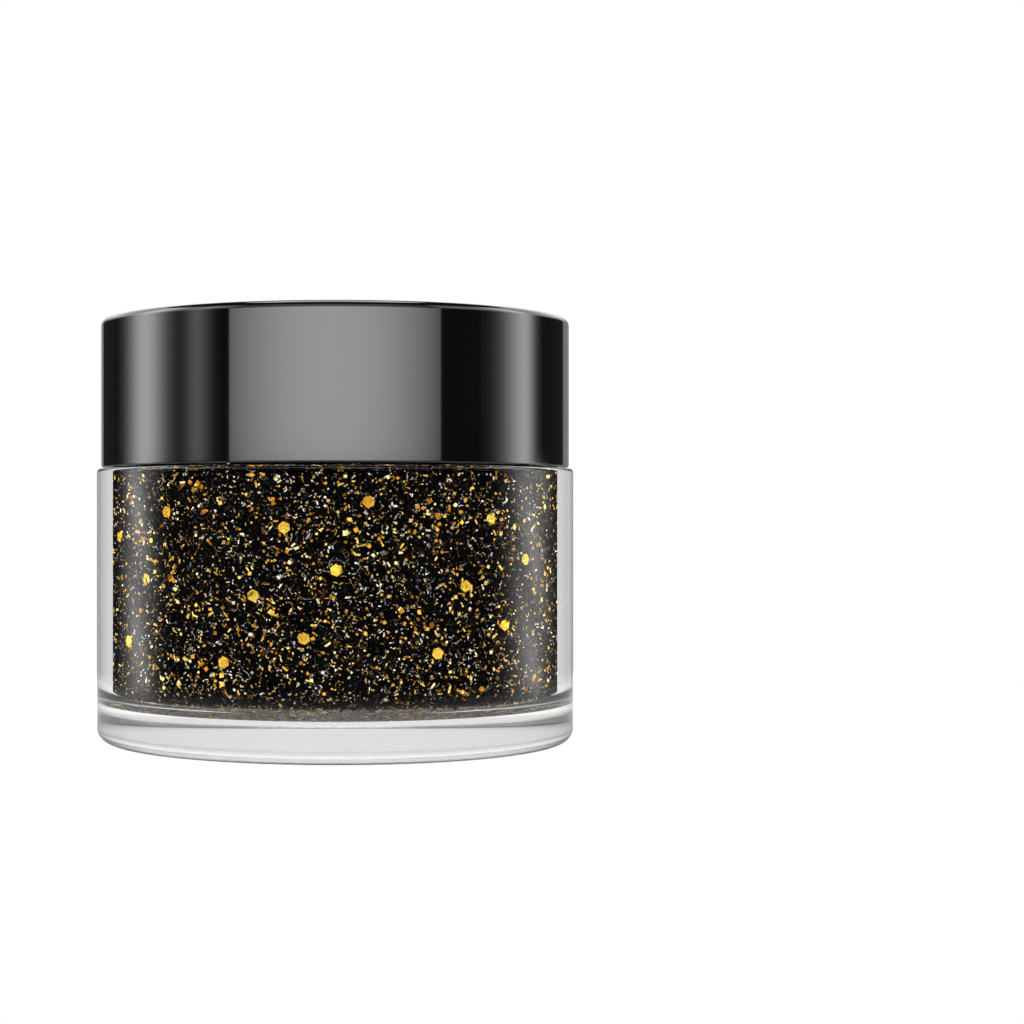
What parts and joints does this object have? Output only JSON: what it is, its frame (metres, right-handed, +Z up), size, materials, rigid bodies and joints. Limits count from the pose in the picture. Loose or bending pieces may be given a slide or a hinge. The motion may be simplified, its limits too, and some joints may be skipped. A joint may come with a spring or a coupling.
{
  "type": "cosmetic jar",
  "caption": "Round double-wall clear jar filled with loose black and gold glitter, closed by a glossy black screw lid with an inner cap and a foam wad.",
  "frame": {"origin": "on the table, under the centre of the jar's foot", "axes": "+Z up along the jar's axis, towards the lid; the jar is round, so +X and +Y are free"},
  "size_m": [0.05, 0.05, 0.044],
  "materials": {
    "clear_acrylic": "clear polished acrylic",
    "black_glitter": "packed fine black glitter",
    "gold_foil": "metallised gold polyester film",
    "black_foil": "black polyester film",
    "black_gloss": "glossy black",
    "black_liner": "satin black",
    "white_foam": "closed-cell foam"
  },
  "bodies": {
    "jar": {"outer_jar": "clear_acrylic", "inner_cup": "clear_acrylic", "glitter_fill": "black_glitter", "gold_hex_flakes": "gold_foil", "black_hex_flakes": "black_foil"},
    "seal": {"foam_wad": "white_foam"},
    "lid": {"inner_cap": "black_liner", "overcap": "black_gloss"}
  },
  "joints": [
    {"name": "lid_lift", "type": "slide", "parent": "jar", "child": "seal", "axis": [0, 0, 1], "range_m": [0, 0.06]},
    {"name": "lid_turn", "type": "hinge", "parent": "seal", "child": "lid", "pos_m": [0, 0, 0.04], "axis": [0, 0, 1], "range_deg": [0, 360]}
  ]
}
